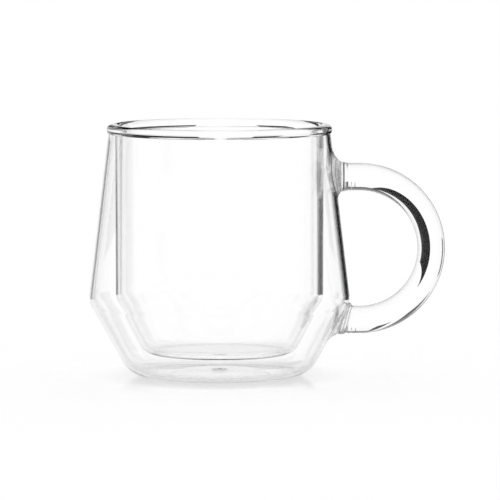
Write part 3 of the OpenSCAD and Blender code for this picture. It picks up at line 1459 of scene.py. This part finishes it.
@dataclass
class OuterGlass(Piece):
    """The blown outer glass: a wall that flares to a rounded belly and turns in to a narrow base.

    Round each weld, a frame of the wall's own points is left open and filled up to the weld's loop. The
    frames are given by their lowest and highest height, in millimetres.
    """

    welds: tuple[Weld, Weld]
    columns: int = 256
    patch_half: int = 13
    loft_rows: int = 10
    frame_rows: int = 22
    lower_frame: Flat = (9.5, 32.0)
    upper_frame: Flat = (60.0, 85.0)
    foot_steps: int = 3
    wall_steps: int = 10
    frame_top_steps: int = 2
    seat_steps: int = 3
    dish_steps: int = 20
    base_steps: int = 24
    inner_low_steps: int = 8
    inner_belly_steps: int = 12
    inner_wall_steps: int = 24

    def heights(self) -> tuple[list[float], dict[WeldPlace, tuple[int, int]]]:
        """Gives the rows of the outside wall above the base's rounding.

        Returns:
            The rows' heights, and for each weld the numbers of its frame's lowest and highest row.
        """
        s = self.sizes
        low_end = s.base_c[1] - s.base_round * math.sin(s.lower_wall_lean)
        belly_low = s.belly_c[1] - s.belly_round * math.sin(s.lower_wall_lean)
        belly_top = s.belly_c[1] + s.belly_round * math.sin(-s.upper_lean)
        marks = [
            (low_end, self.foot_steps),
            (self.lower_frame[0], self.wall_steps),
            (belly_low, self.wall_steps),
            (belly_top, self.frame_rows - 2 * self.wall_steps),
            (self.lower_frame[1], self.wall_steps),
            (self.upper_frame[0], self.frame_rows),
            (self.upper_frame[1], self.frame_top_steps),
            (s.bead_z, 0),
        ]
        found = []
        for (z, steps), (after, _) in zip(marks, marks[1:]):
            found += [z + (after - z) * i / steps for i in range(steps)]
        found.append(s.bead_z)
        low, high = found.index(self.lower_frame[0]), found.index(self.upper_frame[0])
        return found, {
            WeldPlace.LOWER: (low, low + self.frame_rows),
            WeldPlace.UPPER: (high, high + self.frame_rows),
        }

    def round_row(self, solid: Solid, radius: float, height: float) -> list[int]:
        """Adds one level row of points round the axis."""
        turns = (math.tau * j / self.columns for j in range(self.columns))
        return solid.ring([(radius * math.cos(t), radius * math.sin(t), height) for t in turns])

    def inside(self) -> Profile:
        """Gives the inside's outline, from the vent hole up to the bead.

        Returns:
            The outline.
        """
        s = self.sizes
        base = arc(s.base_c, s.base_round - s.shell_t, -math.pi / 2, -s.lower_wall_lean, self.base_steps)
        belly = arc(
            s.belly_c, s.belly_round - s.shell_t, -s.lower_wall_lean, -s.upper_lean, self.inner_belly_steps
        )
        top = (s.shell_in_top_r, s.bead_z)
        return (
            s.dish(s.vent_d / 2, s.shell_t, self.dish_steps)
            + base
            + straight(base[-1], belly[0], self.inner_low_steps)
            + belly
            + straight(belly[-1], top, self.inner_wall_steps)
            + [top]
        )

    def build(self) -> bpy.types.Object:
        """Builds and dresses the piece.

        Returns:
            The piece.
        """
        s = self.sizes
        solid = Solid()
        heights, frames = self.heights()
        vent, seal_r = (s.vent_d / 2, s.dish_h), s.seal_d / 2
        under = [vent] + straight(vent, (seal_r, s.dish_h), self.seat_steps)
        under += s.dish(seal_r, 0.0, self.dish_steps)
        base = arc(s.base_c, s.base_round, -math.pi / 2, -s.lower_wall_lean, self.base_steps)[:-1]
        outside = under + base + [(s.wall_r(z), z) for z in heights]
        first_wall = len(under) + len(base)
        rows = [self.round_row(solid, r, z) for r, z in outside]
        left_open = {
            (first_wall + i, j % self.columns)
            for low, high in frames.values()
            for i in range(low, high)
            for j in range(-self.patch_half, self.patch_half)
        }
        for i in range(len(rows) - 1):
            in_seal = outside[i + 1][0] <= seal_r + IN_PLANE and i < len(under)
            for j in range(self.columns):
                if (i, j) in left_open:
                    continue
                k = (j + 1) % self.columns
                solid.faces.append((rows[i][j], rows[i][k], rows[i + 1][k], rows[i + 1][j]))
                solid.skins.append(Skin.JOINT if in_seal else Skin.GLASS)
        wall = list(zip(rows[first_wall:], heights))
        for weld in self.welds:
            low, high = frames[weld.place]
            self.patch(solid, weld, wall[low : high + 1])
        inner = [self.round_row(solid, r, z) for r, z in reversed(self.inside())]
        solid.bridge(rows[-1], inner[0], Skin.JOINT)
        for one, two in zip(inner, inner[1:]):
            solid.bridge(one, two, Skin.GLASS)
        solid.bridge(inner[-1], rows[0], Skin.JOINT)
        return self.dress(solid.mesh("outer_shell"), "outer_shell", "blown_glass")

    def patch(self, solid: Solid, weld: Weld, rows: Sequence[tuple[list[int], float]]) -> None:
        """Fills the open part of the wall round a weld, from its frame to the weld's loop.

        Args:
            solid: The outer glass.
            weld: The weld.
            rows: The wall's rows from the frame's lowest to its highest, each with its points and height.
        """
        half, top = self.patch_half, len(rows) - 1
        border = [(top, j) for j in range(0, half)]
        border += [(i, half) for i in range(top, 0, -1)]
        border += [(0, j) for j in range(half, -half, -1)]
        border += [(i, -half) for i in range(0, top)]
        border += [(top, j) for j in range(-half, 0)]
        loop = weld.loop
        if len(border) != len(loop):
            raise ValueError(f"{weld.place.value}: {len(border)} points outside, {len(loop)} inside")
        edge = [(math.tau * j / self.columns, rows[i][1]) for i, j in border]
        last = [rows[i][0][j % self.columns] for i, j in border]
        rings = [
            [weld.on_wall(a * (1 - t) + b * t, y * (1 - t) + z * t) for (a, y), (b, z) in zip(edge, loop)]
            for t in (k / self.loft_rows for k in range(1, self.loft_rows))
        ]
        for ring in [*rings, weld.footprint]:
            row = solid.ring(ring)
            solid.bridge(last, row, Skin.GLASS)
            last = row
        weld.cap(solid, last)


# ---------------------------------------------------------------------------------------------------------
# Studio


@dataclass(frozen=True)
class WhiteCard:
    """White card: the table top. It is matt from above, and has a sheen along its surface.

    A share of its white is painted light, a glow of its own, in three zones round the mug's axis: under the
    mug the card glows fully, which takes the shadow there away, in a ring beside the foot it has no glow, so
    that the contact shadow keeps its depth, and further out most of it glows. The sheen lies close to the
    foot and mirrors it faintly. The radii are in millimetres.
    """

    name: str = "white_card"
    colour: str = "#FFFFFF"
    under_share: float = 1.0
    contact_share: float = 0.0
    open_share: float = 0.75
    under_r: float = 20.0
    foot_r: float = 27.0
    contact_r: float = 34.0
    open_r: float = 50.0
    sheen_share: float = 0.9
    sheen_r: float = 40.0
    matt_r: float = 72.0
    sheen_power: float = 6.0
    sheen_roughness: float = 0.03

    def make(self) -> bpy.types.Material:
        """Makes the material.

        Returns:
            The card, with its zones on Object coordinates.
        """
        material = empty_material(self.name)
        tree = material.node_tree
        white = linear(self.colour)
        card = add_node(tree, "ShaderNodeBsdfDiffuse", inputs={"Color": white})
        glow = add_node(tree, "ShaderNodeEmission", inputs={"Color": white, "Strength": 1.0})
        # Painted light: only what the camera sees, straight, mirrored or through the glass, gets the glow, so
        # the shadow stays pale
        sight = add_node(tree, "ShaderNodeLightPath")
        seen = sight.outputs["Is Transmission Ray"]
        for ray in ("Is Glossy Ray", "Is Camera Ray"):
            inputs = {0: sight.outputs[ray], 1: seen}
            seen = add_node(tree, "ShaderNodeMath", {"operation": "MAXIMUM"}, inputs)
        where = add_node(tree, "ShaderNodeTexCoord")
        away = add_node(tree, "ShaderNodeVectorMath", {"operation": "LENGTH"}, {0: where.outputs["Object"]})
        # What changes with the distance from the axis: the painted glow under the mug, the painted glow
        # beyond, the sheen
        slopes = (
            (self.under_r, self.foot_r, self.under_share, self.contact_share),
            (self.contact_r, self.open_r, 0.0, self.open_share - self.contact_share),
            (self.sheen_r, self.matt_r, self.sheen_share, 0.0),
        )
        zones = []
        for start_r, end_r, first, last in slopes:
            inputs = {"Value": away.outputs["Value"], "From Min": start_r * MM, "From Max": end_r * MM}
            inputs |= {"To Min": first, "To Max": last}
            zones.append(add_node(tree, "ShaderNodeMapRange", {"interpolation_type": "SMOOTHSTEP"}, inputs))
        under, beyond, near = zones
        # Painted light: the glow's share, full under the mug, none beside the foot, and most of it further
        # out
        painted_glow_share = add_node(tree, "ShaderNodeMath", {"operation": "ADD"}, {0: under, 1: beyond})
        share = add_node(tree, "ShaderNodeMath", {"operation": "MULTIPLY"}, {0: seen, 1: painted_glow_share})
        mix = add_node(tree, "ShaderNodeMixShader", inputs={0: share, 1: card, 2: glow})
        # Along the card, close to the foot, its smooth face mirrors the foot faintly
        slant = add_node(tree, "ShaderNodeLayerWeight", inputs={"Blend": 0.5})
        grazing = add_node(
            tree, "ShaderNodeMath", {"operation": "POWER"}, {0: slant.outputs["Facing"], 1: self.sheen_power}
        )
        mirrored = add_node(tree, "ShaderNodeMath", {"operation": "MULTIPLY"}, {0: grazing, 1: near})
        gloss = add_node(
            tree, "ShaderNodeBsdfGlossy", inputs={"Color": white, "Roughness": self.sheen_roughness}
        )
        sheen = add_node(tree, "ShaderNodeMixShader", inputs={0: mirrored, 1: mix, 2: gloss})
        add_node(tree, "ShaderNodeOutputMaterial", inputs={"Surface": sheen})
        return material


@dataclass(frozen=True)
class BlackFelt:
    """Black felt on a board: it sends almost no light back, so the glass's edges draw dark beside it."""

    name: str = "black_felt"
    colour: str = "#1C1C1E"

    def make(self) -> bpy.types.Material:
        """Makes the material.

        Returns:
            The felt.
        """
        material = empty_material(self.name)
        tree = material.node_tree
        felt = add_node(tree, "ShaderNodeBsdfDiffuse", inputs={"Color": linear(self.colour)})
        add_node(tree, "ShaderNodeOutputMaterial", inputs={"Surface": felt})
        return material


def upright(one: Flat, two: Flat, low: float, high: float) -> tuple[Spot, ...]:
    """Gives the corners of an upright board that stands between two places, from a low to a high edge."""
    return (*one, low), (*two, low), (*two, high), (*one, high)


@dataclass(frozen=True)
class Board:
    """A felt board out of the picture, by its corners in millimetres. Only the glass sees it.

    A board that isn't mirrored is seen through the glass but not in what the glass mirrors.
    """

    name: str
    corners: tuple[Spot, ...]
    mirrored: bool = True

    def build(self, felt: bpy.types.Material) -> bpy.types.Object:
        """Makes the board.

        Args:
            felt: What it is covered with.

        Returns:
            The board.
        """
        mesh = bpy.data.meshes.new(self.name)
        points = [tuple(c * MM for c in corner) for corner in self.corners]
        mesh.from_pydata(points, [], [tuple(range(len(points)))])
        mesh.materials.append(felt)
        board = bpy.data.objects.new(self.name, mesh)
        bpy.context.scene.collection.objects.link(board)
        board.visible_camera = board.visible_diffuse = board.visible_shadow = False
        board.visible_glossy = self.mirrored
        return board


@dataclass(frozen=True)
class Studio:
    """A white table in a white room, with felt boards out of the picture that draw the glass's edges.

    The table's and the camera's sizes are in metres, the lens and the sensor in millimetres.
    """

    room_colour: str = "#FFFFFF"
    floor_radius: float = 1.5
    floor_sides: int = 96
    camera_distance: float = 1.72
    camera_tilt_deg: float = 4.85
    aim_x: float = 0.0111
    aim_z: float = 0.0457
    lens: float = 340.0
    sensor: float = 36.0
    clip_start: float = 0.05
    clip_end: float = 50.0
    glass_bounces: int = 40
    glossy_bounces: int = 16
    clear_bounces: int = 60
    boards: tuple[Board, ...] = (
        Board(
            "board_right",
            (
                (186.0, 167.0, 0.2),
                (95.0, 231.0, 0.2),
                (95.0, 231.0, 245.0),
                (118.0, 215.0, 190.0),
                (186.0, 167.0, 60.0),
            ),
        ),
        Board("board_left", upright((-98.0, 230.0), (-140.0, 207.0), 0.2, 82.0), mirrored=False),
        Board("board_back_left", upright((-100.0, 250.0), (-13.0, 250.0), 115.0, 240.0)),
        Board("board_back_right", upright((17.0, 250.0), (36.0, 250.0), 115.0, 240.0)),
        Board("board_high_left", upright((-400.0, 250.0), (-13.0, 250.0), 225.0, 900.0)),
        Board("board_high_right", upright((17.0, 250.0), (400.0, 250.0), 225.0, 900.0)),
    )

    def floor(self) -> bpy.types.Object:
        """Makes the round table top.

        Returns:
            The table top.
        """
        mesh = bpy.data.meshes.new("table_top")
        turns = [math.tau * i / self.floor_sides for i in range(self.floor_sides)]
        points = [(self.floor_radius * math.cos(t), self.floor_radius * math.sin(t), 0.0) for t in turns]
        mesh.from_pydata(points, [], [tuple(range(self.floor_sides))])
        mesh.materials.append(WhiteCard().make())
        floor = bpy.data.objects.new("table_top", mesh)
        bpy.context.scene.collection.objects.link(floor)
        return floor

    def room(self) -> None:
        """Makes the white room, which lights everything evenly."""
        world = bpy.data.worlds.new("white_room")
        bpy.context.scene.world = world
        world.use_nodes = True
        tree = world.node_tree
        tree.nodes.clear()
        white = linear(self.room_colour)
        light = add_node(tree, "ShaderNodeBackground", inputs={"Color": white, "Strength": 1.0})
        add_node(tree, "ShaderNodeOutputWorld", inputs={0: light})

    def camera(self) -> bpy.types.Object:
        """Makes the camera at the picture's angle.

        Returns:
            The camera, which looks down a little at the middle of the mug with its handle.
        """
        data = bpy.data.cameras.new("studio_camera")
        data.sensor_fit = "HORIZONTAL"
        data.sensor_width = self.sensor
        data.lens = self.lens
        data.clip_start, data.clip_end = self.clip_start, self.clip_end
        camera = bpy.data.objects.new("studio_camera", data)
        bpy.context.scene.collection.objects.link(camera)
        tilt = math.radians(self.camera_tilt_deg)
        aim = Vector((self.aim_x, 0.0, self.aim_z))
        back = Vector((0.0, -math.cos(tilt), math.sin(tilt)))
        camera.location = aim + back * self.camera_distance
        camera.rotation_mode = "QUATERNION"
        camera.rotation_quaternion = (-back).to_track_quat("-Z", "Y")
        bpy.context.scene.camera = camera
        return camera

    def build(self) -> None:
        """Makes the camera, the table, the boards, the room and the picture settings."""
        scene = bpy.context.scene
        self.camera()
        self.floor()
        felt = BlackFelt().make()
        for board in self.boards:
            board.build(felt)
        self.room()
        scene.view_settings.view_transform = "Standard"
        scene.cycles.max_bounces = scene.cycles.transmission_bounces = self.glass_bounces
        scene.cycles.glossy_bounces = self.glossy_bounces
        scene.cycles.transparent_max_bounces = self.clear_bounces
        scene.cycles.blur_glossy = 0.0
        log.info("studio: white table, white room, %d felt boards", len(self.boards))


def main() -> None:
    """Builds the mug piece by piece."""
    logging.basicConfig(level=logging.INFO, format="%(name)s: %(message)s")
    finishes = Finishes(
        glass=ClearGlass().make(),
        rod=RodGlass().make(),
        joint=MeltedJoint().make(),
        turned=turned_tree(),
        drawn=rod_tree(),
    )
    Studio().build()
    upper, lower = (Weld(SIZES, finishes, place) for place in WeldPlace)
    pieces = (
        OuterGlass(SIZES, finishes, (upper, lower)),
        InnerGlass(SIZES, finishes),
        RimBead(SIZES, finishes),
        VentSeal(SIZES, finishes),
        RodHandle(SIZES, finishes, upper, lower),
        upper,
        lower,
    )
    for piece in pieces:
        piece.build()


if __name__ == "__main__":
    main()
